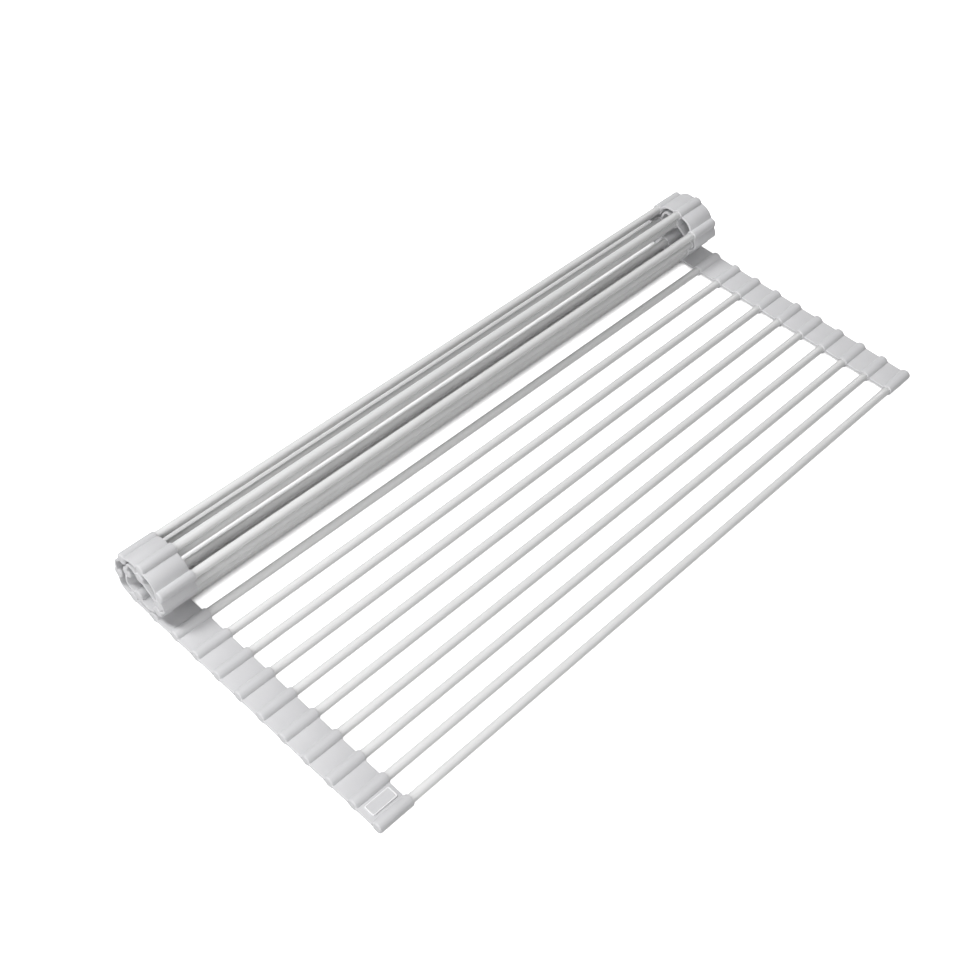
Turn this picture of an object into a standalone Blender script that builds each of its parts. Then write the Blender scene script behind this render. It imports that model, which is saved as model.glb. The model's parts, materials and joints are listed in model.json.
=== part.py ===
"""Roll up dish drying rack: coated steel tubes held at both ends in hinged silicone strips.

X runs along the rods, Y across them toward the roll, and +Z is up. The origin is the centre
of the rack's footprint, on the surface that it stands on. Part of the rack lies flat and the
rest is wound into a roll of two layers on its far end.
"""
import math

import bmesh
import bpy
from mathutils import Vector

MM = 0.001

# Rods: those laid flat before the pair under the roll, and the sizes of each
FLAT_ROD_COUNT = 9
ROD_PITCH = 19.0 * MM
ROD_SPAN = 467.0 * MM
ROD_DIAMETER = 6.0 * MM
ROD_WALL = 0.5 * MM

# Sleeves of the end strips, each with a blind bore for one rod
SLEEVE_LENGTH = 26.0 * MM
SLEEVE_WALL = 0.7 * MM
SLEEVE_FIT = 0.25 * MM
SLEEVE_FLOOR = 2.0 * MM
SLEEVE_END_ROUND = 1.2 * MM
SLEEVE_MOUTH_ROUND = 0.4 * MM
ROD_END_PLAY = 0.3 * MM

# Webs between the sleeves, and the hinge half way along each web
WEB_THICKNESS = 1.8 * MM
WEB_INNER_INSET = 2.0 * MM
WEB_OUTER_INSET = 1.3 * MM
HINGE_RISE = 1.9 * MM
HINGE_GAP = 0.3 * MM

# Bare plaque on the left strip, between the first two rods
PLAQUE_INSET = 3.6 * MM
PLAQUE_LENGTH = 18.0 * MM
PLAQUE_WIDTH = 7.6 * MM
PLAQUE_HEIGHT = 0.5 * MM
PLAQUE_CORNER = 1.6 * MM

# The roll: how far the strip turns at least at each hinge, from the floor inward, the steps in
# which a link turns further in or the whole roll is wound looser, and the gap of its layers
ROLL_TURNS_DEGREES = (7.0, 73.0, 56.5, 51.5, 49.0, 87.0, 55.0, 81.0, 107.5, 9.5)
TURN_STEP_DEGREES = 0.5
LOOSER_STEP_SHARE = 0.04
LAYER_GAP = 0.25 * MM

# A stiff link of strip holds one rod, or two at the free end and under the roll
PAIR = 2

ROUND_SIDES = 12
HINGE_ARC_STEPS = 4
CORNER_STEPS = 3
SMOOTH_ANGLE = math.radians(40.0)

SILICONE_COLOUR = (0.62, 0.63, 0.65, 1.0)
ROD_COLOUR = (0.56, 0.56, 0.55, 1.0)

ROD_RADIUS = ROD_DIAMETER / 2
BORE_RADIUS = ROD_RADIUS + SLEEVE_FIT
SLEEVE_RADIUS = BORE_RADIUS + SLEEVE_WALL
HALF_WEB = WEB_THICKNESS / 2
# A round piece stands on one of its flat sides, so its axis is this high
SLEEVE_HEIGHT = SLEEVE_RADIUS * math.cos(math.pi / ROUND_SIDES)


def clear_scene():
    for thing in list(bpy.data.objects):
        bpy.data.objects.remove(thing, do_unlink=True)


def material(name, colour, roughness, metallic):
    made = bpy.data.materials.new(name)
    made.use_nodes = True
    shader = made.node_tree.nodes["Principled BSDF"]
    shader.inputs["Base Color"].default_value = colour
    shader.inputs["Roughness"].default_value = roughness
    shader.inputs["Metallic"].default_value = metallic
    made.diffuse_color = colour
    return made


def mesh_of(name, shape):
    bmesh.ops.recalc_face_normals(shape, faces=shape.faces)
    mesh = bpy.data.meshes.new(name)
    shape.to_mesh(mesh)
    shape.free()
    return mesh


def turned(name, profile, closed=False):
    """A round solid along X, from (along, radius) points, with a flat side facing down."""
    shape = bmesh.new()
    rings = []
    for along, radius in profile:
        if radius == 0:
            rings.append([shape.verts.new((along, 0, 0))])
            continue
        ring = []
        for side in range(ROUND_SIDES):
            angle = (side + 0.5) * 2 * math.pi / ROUND_SIDES
            ring.append(shape.verts.new((along, radius * math.sin(angle), -radius * math.cos(angle))))
        rings.append(ring)
    pairs = list(zip(rings, rings[1:]))
    if closed:
        pairs.append((rings[-1], rings[0]))
    for one, other in pairs:
        for side in range(ROUND_SIDES):
            after = (side + 1) % ROUND_SIDES
            if len(one) == 1:
                corners = (one[0], other[side], other[after])
            elif len(other) == 1:
                corners = (one[side], one[after], other[0])
            else:
                corners = (one[side], one[after], other[after], other[side])
            shape.faces.new(corners)
    return mesh_of(name, shape)


def prism(name, outline, start, end):
    """A solid along X whose section is an outline of (y, z) points."""
    shape = bmesh.new()
    base = shape.faces.new([shape.verts.new((start, y, z)) for y, z in outline])
    grown = bmesh.ops.extrude_face_region(shape, geom=[base])
    moved = [part for part in grown["geom"] if isinstance(part, bmesh.types.BMVert)]
    bmesh.ops.translate(shape, vec=(end - start, 0, 0), verts=moved)
    return mesh_of(name, shape)


def united(name, meshes):
    """One mesh from overlapping closed meshes."""
    things = []
    for mesh in meshes:
        thing = bpy.data.objects.new(mesh.name, mesh)
        bpy.context.scene.collection.objects.link(thing)
        things.append(thing)
    for other in things[1:]:
        join = things[0].modifiers.new(other.name, "BOOLEAN")
        join.operation = "UNION"
        join.object = other
    seen = things[0].evaluated_get(bpy.context.evaluated_depsgraph_get())
    whole = bpy.data.meshes.new_from_object(seen)
    whole.name = name
    for thing in things:
        bpy.data.objects.remove(thing, do_unlink=True)
    return whole


def mirrored(mesh, name):
    """The same solid handed the other way along X."""
    shape = bmesh.new()
    shape.from_mesh(mesh)
    bmesh.ops.scale(shape, vec=(-1, 1, 1), verts=shape.verts)
    bmesh.ops.reverse_faces(shape, faces=shape.faces)
    flipped = bpy.data.meshes.new(name)
    shape.to_mesh(flipped)
    shape.free()
    return flipped


def smoothed(mesh):
    mesh.shade_smooth()
    mesh.set_sharp_from_angle(angle=SMOOTH_ANGLE)
    return mesh


def rod_mesh():
    """A steel tube, open at both ends, that reaches into the sleeves."""
    half = ROD_SPAN / 2 + SLEEVE_LENGTH - SLEEVE_FLOOR - ROD_END_PLAY
    inner = ROD_RADIUS - ROD_WALL
    profile = ((-half, inner), (-half, ROD_RADIUS), (half, ROD_RADIUS), (half, inner))
    return smoothed(turned("rod", profile, closed=True))


def sleeve_mesh(y):
    """A sleeve with its bore's mouth at x = 0 and its closed end rounded."""
    floor = SLEEVE_LENGTH - SLEEVE_FLOOR
    corner = SLEEVE_RADIUS - SLEEVE_END_ROUND
    profile = (
        (floor, 0),
        (floor, BORE_RADIUS),
        (0, BORE_RADIUS),
        (0, SLEEVE_RADIUS - SLEEVE_MOUTH_ROUND),
        (SLEEVE_MOUTH_ROUND, SLEEVE_RADIUS),
        (SLEEVE_LENGTH - SLEEVE_END_ROUND, SLEEVE_RADIUS),
        (SLEEVE_LENGTH, corner),
        (SLEEVE_LENGTH, 0),
    )
    mesh = turned("sleeve", profile)
    for vertex in mesh.vertices:
        vertex.co += Vector((0, y, -HINGE_RISE))
    return mesh


def hinge_arc(radius, y):
    """Points on a hinge's arc below its axis, from the web's outer face to its inner face."""
    low = math.asin((HINGE_RISE + HALF_WEB) / radius)
    high = math.asin((HINGE_RISE - HALF_WEB) / radius)
    points = []
    for step in range(HINGE_ARC_STEPS + 1):
        angle = low + (high - low) * step / HINGE_ARC_STEPS
        points.append((y + radius * math.cos(angle), -radius * math.sin(angle)))
    return points


def web_outline(start, end, socket, knuckle):
    """A web's section: a hinge socket or a plain end first, a hinge knuckle or a plain end last."""
    low = -HINGE_RISE - HALF_WEB
    high = -HINGE_RISE + HALF_WEB
    reach = HINGE_RISE + HALF_WEB
    if knuckle:
        last = hinge_arc(reach, end)
    else:
        last = [(end, low), (end, high)]
    if socket:
        first = hinge_arc(reach + HINGE_GAP, start)[::-1]
    else:
        first = [(start, high), (start, low)]
    return last + first


def plaque_mesh(y):
    """A thin plate with round corners that stands on the web's upper face."""
    shape = bmesh.new()
    bmesh.ops.create_cube(shape, size=1.0)
    bottom = -HINGE_RISE
    top = bottom + HALF_WEB + PLAQUE_HEIGHT
    centre = PLAQUE_INSET + PLAQUE_LENGTH / 2
    bmesh.ops.scale(shape, vec=(PLAQUE_LENGTH, PLAQUE_WIDTH, top - bottom), verts=shape.verts)
    bmesh.ops.translate(shape, vec=(centre, y, (top + bottom) / 2), verts=shape.verts)
    upright = [edge for edge in shape.edges if abs(edge.verts[0].co.z - edge.verts[1].co.z) > 0]
    bmesh.ops.bevel(shape, geom=upright, offset=PLAQUE_CORNER, segments=CORNER_STEPS, affect="EDGES",
                    profile=0.5, clamp_overlap=True)
    return mesh_of("plaque", shape)


def strip_mesh(name, count, free_start=False, free_end=False, plaque=False):
    """A link of strip with its first hinge axis at y = z = 0 and one sleeve for each rod."""
    seat = (BORE_RADIUS + SLEEVE_RADIUS) / 2
    start = WEB_INNER_INSET
    end = SLEEVE_LENGTH - WEB_OUTER_INSET
    centres = [ROD_PITCH * (index + 0.5) for index in range(count)]
    pieces = [sleeve_mesh(y) for y in centres]
    if not free_start:
        outline = web_outline(0, centres[0] - seat, True, False)
        pieces.append(prism("first_web", outline, start, end))
    for y in centres[:-1]:
        outline = web_outline(y + seat, y + ROD_PITCH - seat, False, False)
        pieces.append(prism("middle_web", outline, start, end))
    if not free_end:
        outline = web_outline(centres[-1] + seat, count * ROD_PITCH, False, True)
        pieces.append(prism("last_web", outline, start, end))
    if plaque:
        pieces.append(plaque_mesh(ROD_PITCH))
    return smoothed(united(name, pieces))


def point_to_web(point, web):
    """Distance from a point to a web's middle line."""
    start, end = web
    along = end - start
    share = (point - start).dot(along) / along.length_squared
    return (point - start - along * min(1.0, max(0.0, share))).length


def web_to_web(one, other):
    return min(point_to_web(one[0], other), point_to_web(one[1], other),
               point_to_web(other[0], one), point_to_web(other[1], one))


def link_lines(hinge, heading, count, has_end=True):
    """Sleeve centres and the web's middle line of a link in the (y, z) plane."""
    along = Vector((math.cos(heading), math.sin(heading)))
    up = Vector((-math.sin(heading), math.cos(heading)))
    start = hinge - up * HINGE_RISE
    centres = [start + along * ROD_PITCH * (index + 0.5) for index in range(count)]
    end = start + along * ROD_PITCH * count if has_end else centres[-1]
    return centres, (start, end)


def clears(link, others):
    """True where a link's sleeves and web stay off the sleeves and webs of other links."""
    centres, web = link
    for other_centres, other_web in others:
        if web_to_web(web, other_web) < WEB_THICKNESS + LAYER_GAP:
            return False
        for centre in centres:
            if point_to_web(centre, other_web) < SLEEVE_RADIUS + HALF_WEB + LAYER_GAP:
                return False
            for other in other_centres:
                if (centre - other).length < 2 * SLEEVE_RADIUS + LAYER_GAP:
                    return False
        for other in other_centres:
            if point_to_web(other, web) < SLEEVE_RADIUS + HALF_WEB + LAYER_GAP:
                return False
    return True


def wound(tightness):
    """The turn at each hinge, where a link turns in until it clears the layer outside it."""
    heading = 0.0
    hinge = Vector((ROD_PITCH * PAIR, 0))
    flat_start = Vector((-ROD_PITCH * FLAT_ROD_COUNT, 0))
    links = [link_lines(flat_start, heading, FLAT_ROD_COUNT + PAIR)]
    turns = []
    for index, least in enumerate(ROLL_TURNS_DEGREES):
        turn = math.radians(least) * tightness
        has_end = index < len(ROLL_TURNS_DEGREES) - 1
        link = link_lines(hinge, heading + turn, 1, has_end)
        while not clears(link, links[:-1]):
            turn += math.radians(TURN_STEP_DEGREES)
            if turn > math.pi:
                return None
            link = link_lines(hinge, heading + turn, 1, has_end)
        heading += turn
        turns.append(turn)
        links.append(link)
        hinge = hinge + Vector((math.cos(heading), math.sin(heading))) * ROD_PITCH
    return turns


def roll_turns():
    """The turns of the roll, wound more loosely where its layers need more room."""
    tightness = 1.0
    turns = wound(tightness)
    while turns is None:
        tightness -= LOOSER_STEP_SHARE
        turns = wound(tightness)
    return turns


def frame_at(name, parent, y, turn=0.0):
    """An empty on a hinge axis, turned by the strip's bend there."""
    empty = bpy.data.objects.new(name, None)
    empty.empty_display_size = ROD_PITCH
    empty.location = (0, y, 0)
    empty.rotation_euler = (turn, 0, 0)
    empty.parent = parent
    bpy.context.scene.collection.objects.link(empty)
    return empty


def place(name, mesh, parent, location, finish):
    thing = bpy.data.objects.new(name, mesh)
    if not mesh.materials:
        mesh.materials.append(finish)
    thing.location = location
    thing.parent = parent
    bpy.context.scene.collection.objects.link(thing)
    return thing


def add_link(frame, first_rod, count, first_y, meshes, strips):
    """The rods of one link and its piece of each end strip."""
    rods = range(first_rod, first_rod + count)
    for index, rod in enumerate(rods):
        y = first_y + ROD_PITCH * (index + 0.5)
        place("rod_%02d" % rod, meshes["rod"], frame, (0, y, -HINGE_RISE), meshes["rod_finish"])
    label = "_".join("%02d" % rod for rod in rods)
    for side, sign in (("left", -1), ("right", 1)):
        mesh = meshes[side, strips]
        location = (sign * ROD_SPAN / 2, first_y, 0)
        place("%s_strip_%s" % (side, label), mesh, frame, location, meshes["strip_finish"])


def strip_meshes():
    """The pieces of strip, each handed for the left and the right end."""
    kinds = {
        "single": dict(count=1),
        "base": dict(count=PAIR),
        "inner_end": dict(count=1, free_end=True),
        "free_end": dict(count=PAIR, free_start=True),
    }
    meshes = {}
    for kind, values in kinds.items():
        right = strip_mesh("right_strip_" + kind, **values)
        left = right
        if kind == "free_end":
            left = strip_mesh("left_strip_plaque", plaque=True, **values)
        meshes["right", kind] = right
        meshes["left", kind] = smoothed(mirrored(left, "left_strip_" + kind))
    return meshes


def settle(frame):
    """Move the whole rack so that it stands on z = 0 with its footprint centred."""
    bpy.context.view_layer.update()
    ys = []
    for thing in bpy.data.objects:
        if thing.type == "MESH":
            ys += [(thing.matrix_world @ vertex.co).y for vertex in thing.data.vertices]
    frame.location.y -= (min(ys) + max(ys)) / 2
    frame.location.z = SLEEVE_HEIGHT + HINGE_RISE


def build():
    clear_scene()
    meshes = strip_meshes()
    meshes["rod"] = rod_mesh()
    meshes["rod_finish"] = material("coated_steel", ROD_COLOUR, 0.5, 0.0)
    meshes["strip_finish"] = material("silicone", SILICONE_COLOUR, 0.6, 0.0)

    base = frame_at("rack", None, 0)
    base_rod = FLAT_ROD_COUNT + 1
    add_link(base, base_rod, PAIR, 0, meshes, "base")

    # The flat part, from the roll to the free end
    frame = base
    y = 0
    for rod in range(FLAT_ROD_COUNT, PAIR, -1):
        frame = frame_at("hinge_%02d" % rod, frame, y)
        add_link(frame, rod, 1, -ROD_PITCH, meshes, "single")
        y = -ROD_PITCH
    frame = frame_at("hinge_%02d" % PAIR, frame, y)
    add_link(frame, 1, PAIR, -PAIR * ROD_PITCH, meshes, "free_end")

    # The roll, from the floor inward
    frame = base
    y = PAIR * ROD_PITCH
    turns = roll_turns()
    last_rod = base_rod + PAIR + len(turns) - 1
    for rod, turn in enumerate(turns, base_rod + PAIR):
        frame = frame_at("hinge_%02d" % rod, frame, y, turn)
        kind = "inner_end" if rod == last_rod else "single"
        add_link(frame, rod, 1, 0, meshes, kind)
        y = ROD_PITCH
    settle(base)


build()
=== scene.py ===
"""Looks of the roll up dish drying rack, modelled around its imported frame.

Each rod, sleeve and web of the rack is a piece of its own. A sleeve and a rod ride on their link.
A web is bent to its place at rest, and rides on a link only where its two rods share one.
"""

import json
import math

import bmesh
import bpy
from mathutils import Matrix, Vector


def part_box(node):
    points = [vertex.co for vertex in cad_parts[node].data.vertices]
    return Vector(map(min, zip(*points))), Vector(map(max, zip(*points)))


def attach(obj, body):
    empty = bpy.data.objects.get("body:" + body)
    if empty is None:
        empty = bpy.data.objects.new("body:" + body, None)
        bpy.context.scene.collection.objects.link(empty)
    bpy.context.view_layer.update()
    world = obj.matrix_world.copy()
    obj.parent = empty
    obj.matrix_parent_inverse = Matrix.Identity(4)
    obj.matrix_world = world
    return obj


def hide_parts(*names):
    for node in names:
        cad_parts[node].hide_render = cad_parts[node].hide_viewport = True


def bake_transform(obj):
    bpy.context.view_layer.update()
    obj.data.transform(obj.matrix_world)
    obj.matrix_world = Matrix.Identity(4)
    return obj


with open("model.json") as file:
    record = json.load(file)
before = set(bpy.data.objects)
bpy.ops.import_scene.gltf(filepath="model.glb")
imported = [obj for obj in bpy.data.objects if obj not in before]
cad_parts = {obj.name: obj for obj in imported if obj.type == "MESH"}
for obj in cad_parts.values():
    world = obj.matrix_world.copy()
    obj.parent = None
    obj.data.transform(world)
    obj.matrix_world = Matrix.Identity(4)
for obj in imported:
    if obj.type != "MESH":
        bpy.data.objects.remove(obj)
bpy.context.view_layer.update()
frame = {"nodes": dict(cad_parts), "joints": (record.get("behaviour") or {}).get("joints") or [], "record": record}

MM = 0.001
HALF_TURN = math.pi
QUARTER_TURN = math.pi / 2
TOUCH = 0.001 * MM
FACING = 0.9
SMOOTH_ANGLE = math.radians(35)

# Rods
ROD_RADIUS = 3.0 * MM
ROD_WALL = 0.5 * MM
ROD_SIDES = 48
ROD_EDGE_ROUND = 0.15 * MM
ROD_EDGE_STEPS = 2

# Sleeves
SLEEVE_RADIUS = 3.95 * MM
SLEEVE_SIDES = 48
SLEEVE_WALL = 0.88 * MM
SLEEVE_END_INSET = 0.7 * MM
SLEEVE_END_ROUND = 1.1 * MM
SLEEVE_MOUTH_ROUND = 0.7 * MM
SLEEVE_ROUND_STEPS = 5
SLEEVE_FLOOR = 2.0 * MM
BORE_MOUTH_ROUND = 0.12 * MM
BORE_MOUTH_STEPS = 2

# Webs, which start inside the wall of a sleeve, a seat away from its axis
WEB_THICKNESS = 1.8 * MM
WEB_EDGE_ROUND = 0.3 * MM
WEB_EDGE_STEPS = 3
WEB_ROWS = 20
WEB_SEAT = 2.9 * MM
WEB_OUTER_INSET = 0.5 * MM
WEB_INNER_INSET = 1.0 * MM
FILLET_START_SHARE = 0.86
FILLET_RISE = 0.5

# Bend of a web: it bulges outwards more, the more it turns
BULGE_PER_RADIAN = 0.41
STRAIGHT_TURN = math.radians(1)
BEND_STEPS = 48

# Bare plaque on the left strip
PLAQUE_INSET = 3.6 * MM
PLAQUE_SIZE = (18.0 * MM, 7.6 * MM, 1.4 * MM)
PLAQUE_PROUD = 0.5 * MM
PLAQUE_CORNER = 1.1 * MM
PLAQUE_CORNER_STEPS = 5
RIM_WIDTH = 0.55 * MM
RIM_PROUD = 0.25 * MM
RIM_EDGE_ROUND = 0.12 * MM
RIM_EDGE_STEPS = 3

# Moulded silicone of the strips
SILICONE_DARK = (0.575, 0.575, 0.587, 1)
SILICONE_PALE = (0.625, 0.625, 0.637, 1)
SILICONE_CLOUD = 14.0 * MM
SILICONE_FLOW = 3.0 * MM
SILICONE_FLOW_SHARE = 0.6
SILICONE_GRAIN = 0.22 * MM
SILICONE_ROUGHNESS = 0.5
SILICONE_ROUGHNESS_SPREAD = 0.14
SILICONE_RELIEF = 0.03 * MM
SILICONE_RELIEF_STRENGTH = 0.5
SILICONE_SHINE = 0.4

# Paler silicone of the plaque's rim
RIM_DARK = (0.82, 0.82, 0.83, 1)
RIM_PALE = (0.86, 0.86, 0.87, 1)
RIM_CLOUD = 4.0 * MM
RIM_ROUGHNESS = 0.45
RIM_ROUGHNESS_SPREAD = 0.1
RIM_RELIEF = 0.02 * MM
RIM_RELIEF_STRENGTH = 0.4

# Powder coat of the rods
COAT_DARK = (0.68, 0.68, 0.68, 1)
COAT_PALE = (0.72, 0.72, 0.72, 1)
COAT_CLOUD = 22.0 * MM
COAT_PEEL = 0.5 * MM
COAT_SPECKLE = 0.18 * MM
COAT_SPECKLE_SHARE = 0.5
COAT_ROUGHNESS = 0.36
COAT_ROUGHNESS_SPREAD = 0.12
COAT_RELIEF = 0.02 * MM
COAT_RELIEF_STRENGTH = 0.45
COAT_SHINE = 0.5

# Camera, fitted to the rods in the photograph
CAMERA_PLACE = (-0.5333, -0.3847, 0.7206)
CAMERA_TURN_DEGREES = (41.688, -3.948, -45.987)
LENS_MM = 55.648
CLIP_START = 10.0 * MM

# Studio light
AMBIENT = 0.02
SOFTBOXES = (
    # name, place, side of the square, watts
    ("key_softbox", (-1.2, 1.35, 2.3), 0.7, 56.0),
    ("top_softbox", (0.0, 0.2, 2.5), 1.5, 14.0),
    ("left_softbox", (-3.8, -0.45, 1.3), 1.8, 66.0),
    ("front_softbox", (-0.8, -2.2, 1.0), 1.5, 22.0),
    ("right_softbox", (3.6, 0.7, 0.6), 1.5, 36.0),
)

# Floor: its colour to the camera and to other rays, and the glow that makes its open parts white.
# The colour to the camera is over 1, so that a lit part without the glow is white too.
FLOOR_SIDE = 12.0
FLOOR_WHITE = 1.12
FLOOR_BOUNCE = 0.4
FLOOR_GLOW = 0.96
ROLL_SHADE_INSET = 4.0 * MM
SHADE_EDGE = 7.5 * MM

rod_names = sorted(name for name in frame["nodes"] if name.startswith("rod_"))
rod_numbers = range(1, len(rod_names) + 1)
bodies = frame["record"]["behaviour"]["bodies"]
rod_body = {name: body for body, nodes in bodies.items() for name in nodes if name in rod_names}
strip_nodes = [name for name in frame["nodes"] if "_strip_" in name]


def rod_name(number):
    return "rod_%02d" % number


def strip_node(side, number):
    """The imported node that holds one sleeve."""
    start = side + "_strip_"
    return next(name for name in strip_nodes if name.startswith(start) and "_%02d" % number in name)


def axis_point(number):
    """The middle of a rod's axis."""
    low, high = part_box(rod_name(number))
    return (low + high) / 2


PITCH = axis_point(2).y - axis_point(1).y
MOUTH_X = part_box("right_strip_01_02")[0].x
END_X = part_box("right_strip_01_02")[1].x
SLEEVE_LENGTH = END_X - MOUTH_X
ROD_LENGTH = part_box(rod_name(1))[1].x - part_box(rod_name(1))[0].x


def link_headings():
    """The direction of each rod's link in the (y, z) plane, which turns on and on through the roll."""
    hinges = {joint["child"]: Vector(joint["pos_m"]) for joint in frame["joints"]}
    hinge_rise = hinges[rod_body[rod_name(3)]].z - axis_point(3).z
    headings = {}
    heading = 0.0
    for number in rod_numbers:
        if is_rolled(number):
            arm = axis_point(number) - hinges[rod_body[rod_name(number)]]
            turned = math.atan2(arm.z, arm.y) + math.atan2(hinge_rise, PITCH / 2)
            heading += (turned - heading) % (2 * HALF_TURN)
        headings[number] = heading
    return headings


def direction(angle):
    """A heading as a vector in the (y, z) plane."""
    return Vector((0, math.cos(angle), math.sin(angle)))


def is_rolled(number):
    """Whether a rod stands off the surface."""
    return axis_point(number).z > axis_point(1).z + TOUCH


headings = link_headings()


# Modelling helpers


def deselect():
    bpy.ops.object.select_all(action="DESELECT")


def take(piece):
    """Make a piece the only selected one, and the active one."""
    deselect()
    piece.select_set(True)
    bpy.context.view_layer.objects.active = piece
    return piece


def settle(piece):
    """Put a piece's place, turn and size into its mesh."""
    take(piece)
    bpy.ops.object.transform_apply(location=True, rotation=True, scale=True)
    return piece


def pick(piece, kind, test):
    """In edit mode, select the vertices, edges or faces that pass a test."""
    bpy.ops.mesh.select_mode(type={"verts": "VERT", "edges": "EDGE", "faces": "FACE"}[kind])
    bpy.ops.mesh.select_all(action="DESELECT")
    shape = bmesh.from_edit_mesh(piece.data)
    for element in getattr(shape, kind):
        if test(element):
            element.select_set(True)
    shape.select_flush_mode()
    bmesh.update_edit_mesh(piece.data)


def along(axis, edge):
    """Whether an edge runs along an axis."""
    span = edge.verts[1].co - edge.verts[0].co
    return abs(span[axis]) > span.length - TOUCH


def all_verts(element, test):
    """Whether all corners of an edge or a face pass a test."""
    return all(test(vertex.co) for vertex in element.verts)


def ring_radius(point):
    """How far a point lies from the X axis."""
    return math.hypot(point.y, point.z)


def smooth(piece):
    """Shade a piece smooth, but for its sharp edges."""
    take(piece)
    bpy.ops.object.shade_smooth_by_angle(angle=SMOOTH_ANGLE)


def copy_of(piece, name):
    """A copy with its own mesh."""
    twin = piece.copy()
    twin.data = piece.data.copy()
    twin.name = name
    twin.data.name = name
    bpy.context.scene.collection.objects.link(twin)
    return twin


def mirrored(piece, name):
    """A copy for the other end of the rack."""
    twin = take(copy_of(piece, name))
    bpy.ops.object.mode_set(mode="EDIT")
    bpy.ops.mesh.select_all(action="SELECT")
    bpy.ops.transform.resize(value=(-1, 1, 1), center_override=(0, 0, 0))
    bpy.ops.mesh.normals_make_consistent(inside=False)
    bpy.ops.object.mode_set(mode="OBJECT")
    return twin


def placed(piece, name, place):
    """A copy with its place in its mesh."""
    twin = copy_of(piece, name)
    twin.location = place
    return settle(twin)


def forget(piece):
    bpy.data.objects.remove(piece, do_unlink=True)


# Master pieces, each modelled once


def model_rod():
    """An open steel tube along X, with its end edges broken."""
    deselect()
    bpy.ops.mesh.primitive_cylinder_add(vertices=ROD_SIDES, radius=ROD_RADIUS, depth=ROD_LENGTH,
                                        rotation=(0, QUARTER_TURN, 0))
    rod = settle(bpy.context.object)
    rod.name = "rod_master"
    bpy.ops.object.mode_set(mode="EDIT")
    pick(rod, "faces", lambda face: abs(face.normal.x) > FACING)
    bpy.ops.mesh.inset(thickness=ROD_WALL, use_individual=True)
    bpy.ops.mesh.bridge_edge_loops()
    pick(rod, "edges", lambda edge: all_verts(edge, lambda co: abs(co.x) > ROD_LENGTH / 2 - TOUCH
                                              and ring_radius(co) > ROD_RADIUS - TOUCH))
    bpy.ops.mesh.bevel(offset=ROD_EDGE_ROUND, segments=ROD_EDGE_STEPS, affect="EDGES")
    bpy.ops.object.mode_set(mode="OBJECT")
    smooth(rod)
    return rod


def model_sleeve():
    """A sleeve from its mouth at x = 0, with a blind bore and a closed end."""
    deselect()
    length = SLEEVE_LENGTH - SLEEVE_END_INSET
    bpy.ops.mesh.primitive_cylinder_add(vertices=SLEEVE_SIDES, radius=SLEEVE_RADIUS, depth=length,
                                        location=(length / 2, 0, 0), rotation=(0, QUARTER_TURN, 0))
    sleeve = settle(bpy.context.object)
    sleeve.name = "sleeve_master"
    bpy.ops.object.mode_set(mode="EDIT")

    # The bore
    pick(sleeve, "faces", lambda face: face.normal.x < -FACING)
    bpy.ops.mesh.inset(thickness=SLEEVE_WALL)
    bpy.ops.mesh.extrude_region_move(
        TRANSFORM_OT_translate={"value": (SLEEVE_LENGTH - SLEEVE_FLOOR, 0, 0)})
    pick(sleeve, "edges", lambda edge: all_verts(edge, lambda co: co.x < TOUCH
                                                 and ring_radius(co) < SLEEVE_RADIUS - TOUCH))
    bpy.ops.mesh.bevel(offset=BORE_MOUTH_ROUND, segments=BORE_MOUTH_STEPS, affect="EDGES")

    # The closed end
    pick(sleeve, "edges", lambda edge: all_verts(edge, lambda co: co.x > length - TOUCH))
    bpy.ops.mesh.bevel(offset=SLEEVE_END_ROUND, segments=SLEEVE_ROUND_STEPS, affect="EDGES")

    # The lip round the rod
    pick(sleeve, "edges", lambda edge: all_verts(edge, lambda co: co.x < TOUCH
                                                 and ring_radius(co) > SLEEVE_RADIUS - TOUCH))
    bpy.ops.mesh.bevel(offset=SLEEVE_MOUTH_ROUND, segments=SLEEVE_ROUND_STEPS, affect="EDGES")
    bpy.ops.object.mode_set(mode="OBJECT")
    smooth(sleeve)
    return sleeve


def web_length():
    """The length of a flat web, from seat to seat."""
    return PITCH - 2 * WEB_SEAT


def model_web():
    """A flat web centred on the origin in Y, with a fillet at each sleeve."""
    deselect()
    length = web_length()
    width = SLEEVE_LENGTH - WEB_OUTER_INSET - WEB_INNER_INSET
    bpy.ops.mesh.primitive_cube_add(size=1, location=(WEB_INNER_INSET + width / 2, 0, 0),
                                    scale=(width, length, WEB_THICKNESS))
    web = settle(bpy.context.object)
    web.name = "web_master"
    bpy.ops.object.mode_set(mode="EDIT")
    pick(web, "edges", lambda edge: along(1, edge))
    bpy.ops.mesh.bevel(offset=WEB_EDGE_ROUND, segments=WEB_EDGE_STEPS, affect="EDGES")
    pick(web, "edges", lambda edge: along(1, edge))
    bpy.ops.mesh.subdivide(number_cuts=WEB_ROWS - 1)
    step = length / WEB_ROWS
    for row in range(WEB_ROWS + 1):
        y = row * step - length / 2
        share = abs(y) / (length / 2)
        if share > FILLET_START_SHARE:
            rise = 1 + FILLET_RISE * ((share - FILLET_START_SHARE) / (1 - FILLET_START_SHARE)) ** 2
            pick(web, "verts", lambda vertex: abs(vertex.co.y - y) < step / 4)
            bpy.ops.transform.resize(value=(1, 1, rise), center_override=(0, 0, 0))
    bpy.ops.object.mode_set(mode="OBJECT")
    smooth(web)
    return web


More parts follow.
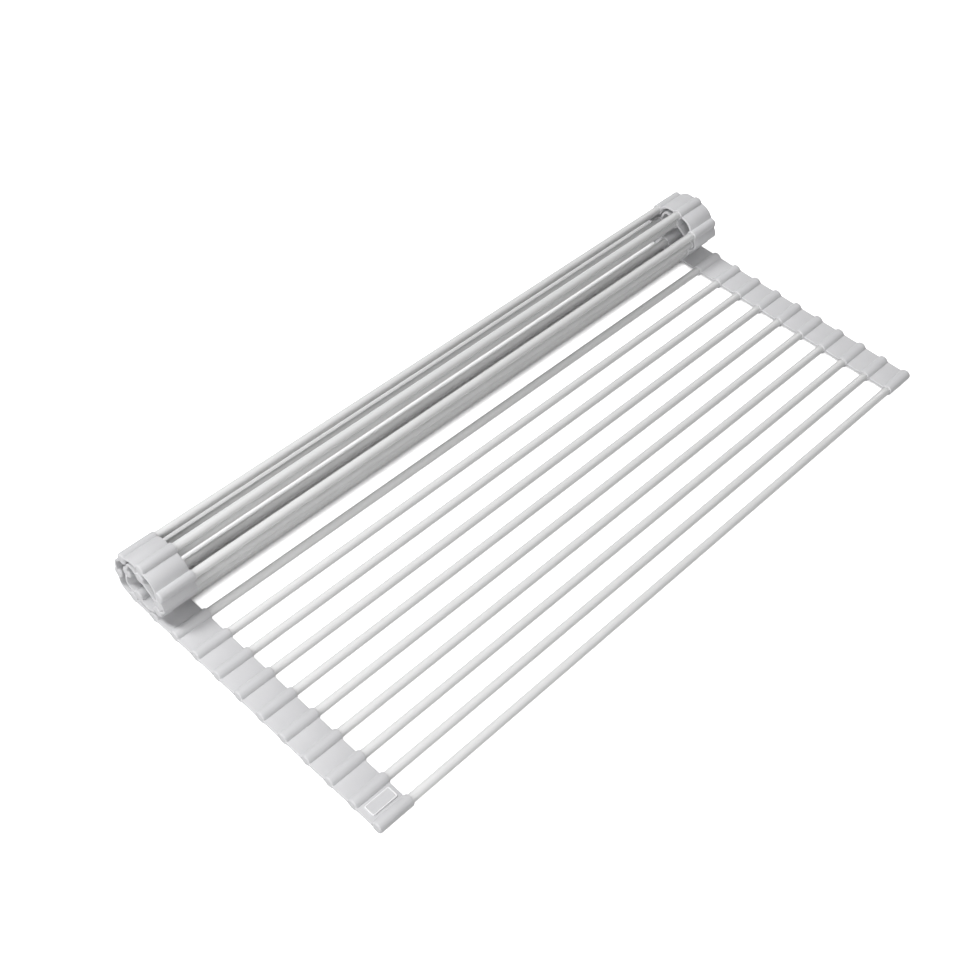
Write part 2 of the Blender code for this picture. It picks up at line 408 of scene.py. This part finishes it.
def plaque_slab(name, top, margin):
    """A slab with round corners, which stands out of a web of the right strip up to a height."""
    deselect()
    length, width, thickness = PLAQUE_SIZE
    bpy.ops.mesh.primitive_cube_add(size=1, scale=(length - 2 * margin, width - 2 * margin, thickness),
                                    location=(PLAQUE_INSET + length / 2, 0, top - thickness / 2))
    slab = settle(bpy.context.object)
    slab.name = name
    bpy.ops.object.mode_set(mode="EDIT")
    pick(slab, "edges", lambda edge: along(2, edge))
    bpy.ops.mesh.bevel(offset=PLAQUE_CORNER - margin, segments=PLAQUE_CORNER_STEPS, affect="EDGES")
    return slab


def model_plaque():
    """The bare plate."""
    plaque = plaque_slab("plaque_master", WEB_THICKNESS / 2 + PLAQUE_PROUD, RIM_WIDTH / 2)
    bpy.ops.object.mode_set(mode="OBJECT")
    smooth(plaque)
    return plaque


def model_plaque_rim():
    """A raised rim round the plate."""
    top = WEB_THICKNESS / 2 + PLAQUE_PROUD + RIM_PROUD
    rim = plaque_slab("plaque_rim_master", top, 0.0)
    pick(rim, "faces", lambda face: abs(face.normal.z) > FACING)
    bpy.ops.mesh.inset(thickness=RIM_WIDTH, use_individual=True)
    bpy.ops.mesh.bridge_edge_loops()
    pick(rim, "edges", lambda edge: all_verts(edge, lambda co: co.z > top - TOUCH)
         and edge.calc_face_angle(0.0) > QUARTER_TURN / 2)
    bpy.ops.mesh.bevel(offset=RIM_EDGE_ROUND, segments=RIM_EDGE_STEPS, affect="EDGES")
    bpy.ops.object.mode_set(mode="OBJECT")
    smooth(rim)
    return rim


def web_path(number):
    """A level curve along the web after a rod, with the web's start, end and middle heading.

    The handles are those of an arc, made longer for the bulge.
    """
    first, last = headings[number], headings[number + 1]
    turn = last - first
    middle = (first + last) / 2
    start = axis_point(number) + direction(first) * WEB_SEAT
    end = axis_point(number + 1) - direction(last) * WEB_SEAT
    reach = end - start
    if abs(turn) > STRAIGHT_TURN:
        radius = reach.length / (2 * math.sin(turn / 2))
        arc_handle = 4 / 3 * math.tan(turn / 4) * radius
    else:
        arc_handle = reach.length / 3
    handle = arc_handle * (1 + BULGE_PER_RADIAN * abs(turn))
    deselect()
    bpy.ops.curve.primitive_bezier_curve_add()
    path = bpy.context.object
    spline = path.data.splines[0]
    spline.resolution_u = BEND_STEPS
    level_end = Vector((0, reach.dot(direction(middle)), reach.dot(direction(middle + QUARTER_TURN))))
    places = ((Vector(), first - middle), (level_end, last - middle))
    for point, (place, heading) in zip(spline.bezier_points, places):
        point.handle_left_type = point.handle_right_type = "FREE"
        point.co = place
        point.handle_left = place - direction(heading) * handle
        point.handle_right = place + direction(heading) * handle
        point.tilt = QUARTER_TURN
    return path, start, end, middle


def bent(master, name, number, x):
    """A copy of the flat web, bent level by a Curve modifier and then turned to its place."""
    path, start, end, middle = web_path(number)
    length = path.data.splines[0].calc_length()
    web = copy_of(master, name)
    web.scale = (1, length / web_length(), 1)
    web.location = (0, length / 2, 0)
    settle(web)
    bend = web.modifiers.new("bend", "CURVE")
    bend.object = path
    bend.deform_axis = "POS_Y"
    bpy.ops.object.modifier_apply(modifier=bend.name)
    web.rotation_euler = (middle, 0, 0)
    web.location = start + Vector((x - start.x, 0, 0))
    settle(web)
    forget(path)
    return web, start, end


# Materials


class Wire:
    """A shader socket that can stand in a sum or a product."""

    def __init__(self, nodes, socket):
        self.nodes = nodes
        self.socket = socket

    def maths(self, operation, first, second):
        return self.nodes.node("ShaderNodeMath", {"operation": operation}, {0: first, 1: second})

    def __add__(self, other):
        return self.maths("ADD", self, other)

    def __sub__(self, other):
        return self.maths("SUBTRACT", self, other)

    def __rsub__(self, other):
        return self.maths("SUBTRACT", other, self)

    def __mul__(self, other):
        return self.maths("MULTIPLY", self, other)

    def __abs__(self):
        return self.maths("ABSOLUTE", self, 0.0)

    def at_least(self, other):
        return self.maths("MAXIMUM", self, other)

    __radd__ = __add__
    __rmul__ = __mul__


class Nodes:
    """The nodes of a material or of the world."""

    def __init__(self, tree):
        self.tree = tree

    def node(self, kind, settings=None, sockets=None, out=0):
        """Make a node of a type, with its settings and then its socket values or links."""
        made = self.tree.nodes.new(kind)
        for key, value in (settings or {}).items():
            setattr(made, key, value)
        for key, value in (sockets or {}).items():
            self.join(value, made.inputs[key])
        return Wire(self, made.outputs[out])

    def join(self, value, socket):
        """Link a wire to a socket, or set the socket's value."""
        if isinstance(value, Wire):
            self.tree.links.new(value.socket, socket)
        else:
            socket.default_value = value

    def object_place(self):
        return self.node("ShaderNodeTexCoord", out="Object")

    def ray(self, kind):
        """1 where the ray is of one kind, such as Camera, and 0 elsewhere."""
        return self.node("ShaderNodeLightPath", out="Is %s Ray" % kind)

    def shown(self):
        """1 where a ray should see the white background: camera, mirror and glass rays do."""
        return self.ray("Camera").at_least(self.ray("Glossy")).at_least(self.ray("Transmission"))


class Finish(Nodes):
    """A material and its nodes."""

    def __init__(self, name):
        self.material = bpy.data.materials.new(name)
        self.material.use_nodes = True
        super().__init__(self.material.node_tree)
        self.shader = self.tree.nodes["Principled BSDF"]
        self.place = self.object_place()

    def noise(self, size, detail=2.0):
        """Smooth noise from 0 to 1 whose lumps are about one size, in metres."""
        sockets = {"Vector": self.place, "Scale": 1 / size, "Detail": detail, "Roughness": 0.5}
        return self.node("ShaderNodeTexNoise", {"noise_dimensions": "3D"}, sockets, out="Fac")

    def mix(self, share, first, second):
        """A colour between two. Inputs 6 and 7 and output 2 are a Mix node's colour sockets."""
        return self.node("ShaderNodeMix", {"data_type": "RGBA"},
                         {"Factor": share, 6: first, 7: second}, out=2)

    def bump(self, height, distance, strength):
        """A normal that follows a height from 0 to 1, over a distance in metres."""
        sockets = {"Height": height, "Distance": distance, "Strength": strength}
        return self.node("ShaderNodeBump", {}, sockets, out="Normal")

    def set(self, **values):
        """Set or link the shader's sockets by name, and give the material."""
        for key, value in values.items():
            self.join(value, self.shader.inputs[key.replace("_", " ")])
        return self.material


def silicone_finish():
    """Moulded silicone: a fine spark-eroded grain, faint clouding and a soft sheen."""
    finish = Finish("moulded_silicone")
    cloud = finish.noise(SILICONE_CLOUD, detail=3.0)
    grain = finish.noise(SILICONE_GRAIN)
    flow = finish.noise(SILICONE_FLOW, detail=1.0)
    relief = grain + SILICONE_FLOW_SHARE * flow
    return finish.set(
        Base_Color=finish.mix(cloud, SILICONE_DARK, SILICONE_PALE),
        Roughness=SILICONE_ROUGHNESS + SILICONE_ROUGHNESS_SPREAD * grain,
        Normal=finish.bump(relief, SILICONE_RELIEF, SILICONE_RELIEF_STRENGTH),
        Specular_IOR_Level=SILICONE_SHINE,
    )


def pale_rim_finish():
    """The paler silicone of the plaque's rim."""
    finish = Finish("pale_silicone")
    cloud = finish.noise(RIM_CLOUD)
    grain = finish.noise(SILICONE_GRAIN)
    return finish.set(
        Base_Color=finish.mix(cloud, RIM_DARK, RIM_PALE),
        Roughness=RIM_ROUGHNESS + RIM_ROUGHNESS_SPREAD * grain,
        Normal=finish.bump(grain, RIM_RELIEF, RIM_RELIEF_STRENGTH),
        Specular_IOR_Level=SILICONE_SHINE,
    )


def coat_finish():
    """Matte powder coat on the tubes: fine orange peel and a little speckle."""
    finish = Finish("rod_powder_coat")
    cloud = finish.noise(COAT_CLOUD)
    peel = finish.noise(COAT_PEEL)
    speckle = finish.noise(COAT_SPECKLE, detail=1.0)
    relief = peel + COAT_SPECKLE_SHARE * speckle
    return finish.set(
        Base_Color=finish.mix(cloud, COAT_DARK, COAT_PALE),
        Roughness=COAT_ROUGHNESS + COAT_ROUGHNESS_SPREAD * speckle,
        Normal=finish.bump(relief, COAT_RELIEF, COAT_RELIEF_STRENGTH),
        Specular_IOR_Level=COAT_SHINE,
    )


# Assembly


def finished(piece, material):
    """Give a piece its material."""
    piece.data.materials.clear()
    piece.data.materials.append(material)


def dress_rods(master, material):
    """All the rods, each on its own link or on a pair's."""
    for number in rod_numbers:
        name = rod_name(number)
        rod = placed(master, "coated_" + name, axis_point(number))
        finished(rod, material)
        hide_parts(name)
        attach(rod, rod_body[name])


def dress_strip(side, sign, sleeve, web, material):
    """The sleeves and webs of one end strip."""
    replaced = set()
    for number in rod_numbers:
        body = rod_body[rod_name(number)]
        place = axis_point(number)
        place.x = sign * MOUTH_X
        piece = placed(sleeve, "%s_sleeve_%02d" % (side, number), place)
        finished(piece, material)
        node = strip_node(side, number)
        if node not in replaced:
            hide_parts(node)
            replaced.add(node)
        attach(piece, body)
    for number in rod_numbers[:-1]:
        name = "%s_web_%02d_%02d" % (side, number, number + 1)
        piece, start, end = bent(web, name, number, sign * MOUTH_X)
        finished(piece, material)
        one = rod_body[rod_name(number)]
        other = rod_body[rod_name(number + 1)]
        if one == other:
            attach(piece, one)
        else:
            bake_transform(piece)


def dress_plaque(plate, rim, silicone, rim_material):
    """The plate and its rim, on the first web of the left strip."""
    middle = (axis_point(1) + axis_point(2)) / 2
    middle.x = -MOUTH_X
    parts = (("left_plaque", plate, silicone), ("left_plaque_rim", rim, rim_material))
    for name, master, material in parts:
        piece = placed(master, name, middle)
        finished(piece, material)
        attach(piece, rod_body[rod_name(1)])


def dress_rack():
    """Model each master piece once, place its copies, and remove it."""
    silicone = silicone_finish()
    coat = coat_finish()
    rod = model_rod()
    sleeve = model_sleeve()
    web = model_web()
    plate = model_plaque()
    rim = model_plaque_rim()
    left_sleeve = mirrored(sleeve, "left_sleeve_master")
    left_web = mirrored(web, "left_web_master")
    left_plate = mirrored(plate, "left_plaque_master")
    left_rim = mirrored(rim, "left_plaque_rim_master")
    dress_rods(rod, coat)
    dress_strip("right", 1, sleeve, web, silicone)
    dress_strip("left", -1, left_sleeve, left_web, silicone)
    dress_plaque(left_plate, left_rim, silicone, pale_rim_finish())
    for master in (rod, sleeve, web, plate, rim, left_sleeve, left_web, left_plate, left_rim):
        forget(master)


# Studio


def studio_world():
    """White to the camera, and a dim even light on the rack."""
    world = bpy.data.worlds.new("studio")
    world.use_nodes = True
    bpy.context.scene.world = world
    nodes = Nodes(world.node_tree)
    white = (1.0, 1.0, 1.0, 1.0)
    dim = nodes.node("ShaderNodeBackground", {}, {"Color": white, "Strength": AMBIENT})
    full = nodes.node("ShaderNodeBackground", {}, {"Color": white, "Strength": 1.0})
    light = nodes.node("ShaderNodeMixShader", {}, {0: nodes.shown(), 1: dim, 2: full})
    nodes.join(light, world.node_tree.nodes["World Output"].inputs["Surface"])


def outside(finish, distance, half_width):
    """A mask that is 0 well within a band of the floor and rises to 1 at the band's edge."""
    return finish.node("ShaderNodeMapRange", {"interpolation_type": "SMOOTHSTEP"},
                       {"Value": distance, "From Min": half_width - SHADE_EDGE, "From Max": half_width})


def open_floor(finish):
    """A mask that is 0 on the floor below the roll and below the end strips, and 1 elsewhere."""
    x = finish.node("ShaderNodeSeparateXYZ", {}, {"Vector": finish.place}, out="X")
    y = finish.node("ShaderNodeSeparateXYZ", {}, {"Vector": finish.place}, out="Y")
    rolled = [axis_point(number).y for number in rod_numbers if is_rolled(number)]
    front = axis_point(1).y - SLEEVE_RADIUS
    roll_front = min(rolled) - SLEEVE_RADIUS + ROLL_SHADE_INSET
    back = max(rolled) + SLEEVE_RADIUS - ROLL_SHADE_INSET
    past_ends = outside(finish, abs(x), END_X)
    off_roll = outside(finish, abs(y - (roll_front + back) / 2), (back - roll_front) / 2)
    off_rack = outside(finish, abs(y - (front + back) / 2), (back - front) / 2)
    off_strips = outside(finish, abs(abs(x) - (MOUTH_X + END_X) / 2), SLEEVE_LENGTH / 2)
    return past_ends.at_least(off_roll) * off_strips.at_least(off_rack)


def studio_floor():
    """A pale floor, which glows white where it is open and keeps the shadow under the rack."""
    deselect()
    lowest = axis_point(1).z - SLEEVE_RADIUS
    bpy.ops.mesh.primitive_plane_add(size=FLOOR_SIDE, location=(0, 0, lowest))
    floor = bpy.context.object
    floor.name = "studio_floor"
    finish = Finish("studio_floor")
    is_open = open_floor(finish)
    finish.set(
        Base_Color=FLOOR_BOUNCE + (FLOOR_WHITE - FLOOR_BOUNCE) * finish.ray("Camera"),
        Roughness=1.0,
        Specular_IOR_Level=0.0,
        Emission_Color=FLOOR_GLOW * finish.shown() * is_open,
        Emission_Strength=1.0,
    )
    floor.data.materials.append(finish.material)


def softbox(name, place, size, power):
    """A square area light aimed at the middle of the rack."""
    lamp = bpy.data.lights.new(name, "AREA")
    lamp.shape = "SQUARE"
    lamp.size = size
    lamp.energy = power
    light = bpy.data.objects.new(name, lamp)
    light.location = place
    light.rotation_euler = (-Vector(place)).to_track_quat("-Z", "Y").to_euler()
    bpy.context.scene.collection.objects.link(light)


def studio_camera():
    """The camera, at the photograph's angle."""
    camera = bpy.data.objects.new("camera", bpy.data.cameras.new("camera"))
    camera.data.lens = LENS_MM
    camera.data.clip_start = CLIP_START
    camera.location = CAMERA_PLACE
    camera.rotation_euler = [math.radians(angle) for angle in CAMERA_TURN_DEGREES]
    bpy.context.scene.collection.objects.link(camera)
    bpy.context.scene.camera = camera


studio_camera()
dress_rack()
studio_world()
studio_floor()
for name, place, size, power in SOFTBOXES:
    softbox(name, place, size, power)
bpy.context.scene.view_settings.view_transform = "Standard"
